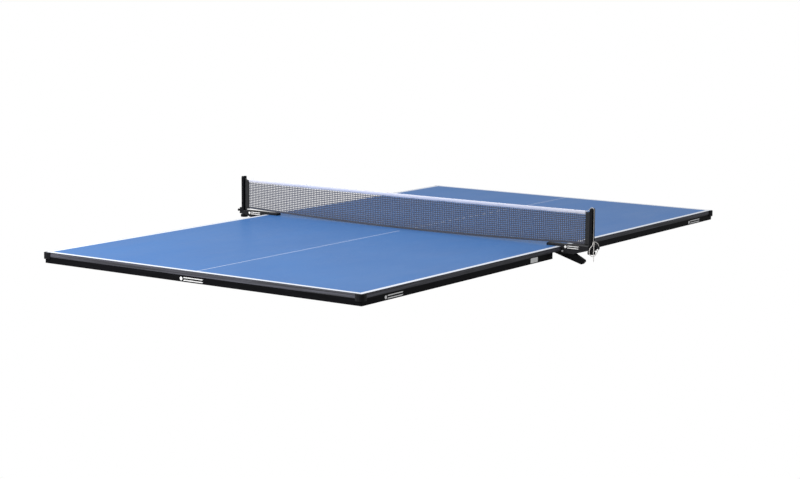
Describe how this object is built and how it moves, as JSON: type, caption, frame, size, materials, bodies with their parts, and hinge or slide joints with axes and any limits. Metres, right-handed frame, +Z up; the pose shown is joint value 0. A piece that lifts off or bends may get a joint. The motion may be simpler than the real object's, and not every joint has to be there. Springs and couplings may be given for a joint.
{
  "type": "table tennis conversion top",
  "caption": "Blue table tennis top in two halves with steel aprons, laid over a games table, with a clamp-on net on posts.",
  "frame": {"origin": "middle of the top, in the plane of the foam pads' lower faces, where it lies on the games table", "axes": "+X across the table along the net, +Y along the table away from the near half, +Z up"},
  "size_m": [1.86, 2.756, 0.2324],
  "materials": {
    "blue_board": "wood fibre board with semi-matt blue paint and white lines",
    "edge_tape": "dark grey streaked edging",
    "black_steel": "black powder coat",
    "zinc_screw": "zinc plated",
    "foam": "closed-cell foam",
    "black_plastic": "moulded, fine texture",
    "bracket_steel": "dark grey satin coat",
    "rubber_pad": "matt",
    "rivet_steel": "satin",
    "spring_steel": "bright",
    "lever_plastic": "moulded, satin",
    "screw_steel": "zinc plated",
    "post_steel": "dark satin coat",
    "sleeve_cloth": "black woven tape",
    "rod_steel": "plain",
    "net_mesh": "knotted dark blue-grey thread",
    "hem_cloth": "dark woven tape",
    "band_cloth": "white woven tape",
    "cord": "off-white braided cord"
  },
  "bodies": {
    "near_half": {"near_panel": "blue_board", "near_edge_band": "edge_tape", "near_apron_end": "black_steel", "near_apron_left": "black_steel", "near_apron_right": "black_steel", "near_apron_screws": "zinc_screw", "near_foam_pads": "foam", "near_corner_cap_left": "black_plastic", "near_corner_cap_right": "black_plastic", "clamp_bracket_left": "bracket_steel", "clamp_bracket_right": "bracket_steel", "upper_jaw_pad_left": "rubber_pad", "upper_jaw_pad_right": "rubber_pad", "jaw_end_cap_left": "black_plastic", "jaw_end_cap_right": "black_plastic", "pivot_pin_left": "rivet_steel", "pivot_pin_right": "rivet_steel", "lever_spring_left": "spring_steel", "lever_spring_right": "spring_steel"},
    "far_half": {"far_panel": "blue_board", "far_edge_band": "edge_tape", "far_apron_end": "black_steel", "far_apron_left": "black_steel", "far_apron_right": "black_steel", "far_apron_screws": "zinc_screw", "far_foam_pads": "foam", "far_corner_cap_left": "black_plastic", "far_corner_cap_right": "black_plastic"},
    "lever_left": {"clamp_lever_left": "lever_plastic", "lower_jaw_pad_left": "rubber_pad"},
    "lever_right": {"clamp_lever_right": "lever_plastic", "lower_jaw_pad_right": "rubber_pad"},
    "height_wheel_left": {"height_screw_left": "screw_steel", "height_wheel_left": "black_plastic"},
    "height_wheel_right": {"height_screw_right": "screw_steel", "height_wheel_right": "black_plastic"},
    "net_assembly": {"post_left": "post_steel", "post_right": "post_steel", "post_foot_left": "black_plastic", "post_foot_right": "black_plastic", "post_cap_left": "black_plastic", "post_cap_right": "black_plastic", "net_sleeve_left": "sleeve_cloth", "net_sleeve_right": "sleeve_cloth", "net_end_rod_left": "rod_steel", "net_end_rod_right": "rod_steel", "net_mesh": "net_mesh", "net_bottom_hem": "hem_cloth", "net_top_band": "band_cloth", "net_top_cord": "cord", "tension_cord": "cord", "tension_cord_tail": "cord", "tension_knot": "cord"}
  },
  "joints": [
    {"name": "far_half_draw_apart", "type": "slide", "parent": "near_half", "child": "far_half", "axis": [0, 1, 0], "range_m": [0, 0.3]},
    {"name": "lever_left_squeeze", "type": "hinge", "parent": "near_half", "child": "lever_left", "pos_m": [-0.771, 0, 0.006], "axis": [0, 1, 0], "range_deg": [0, 16], "stiffness_Nm_per_rad": 3, "springref_deg": -20.05},
    {"name": "lever_right_squeeze", "type": "hinge", "parent": "near_half", "child": "lever_right", "pos_m": [0.771, 0, 0.006], "axis": [0, -1, 0], "range_deg": [0, 16], "stiffness_Nm_per_rad": 3, "springref_deg": -20.05},
    {"name": "height_wheel_right_turn", "type": "hinge", "parent": "near_half", "child": "height_wheel_right", "pos_m": [0.896, 0, 0.007], "axis": [0, 0, 1], "range_deg": [0, 1440]},
    {"name": "height_wheel_left_turn", "type": "hinge", "parent": "near_half", "child": "height_wheel_left", "pos_m": [-0.896, 0, 0.007], "axis": [0, 0, 1], "range_deg": [0, 1440]},
    {"name": "net_height", "type": "slide", "parent": "near_half", "child": "net_assembly", "axis": [0, 0, 1], "range_m": [0, 0.005]}
  ],
  "couplings": [
    {"joint": "height_wheel_right_turn", "follows": "net_height", "rad_per_m": 5026.5},
    {"joint": "height_wheel_left_turn", "follows": "net_height", "rad_per_m": 5026.5}
  ]
}
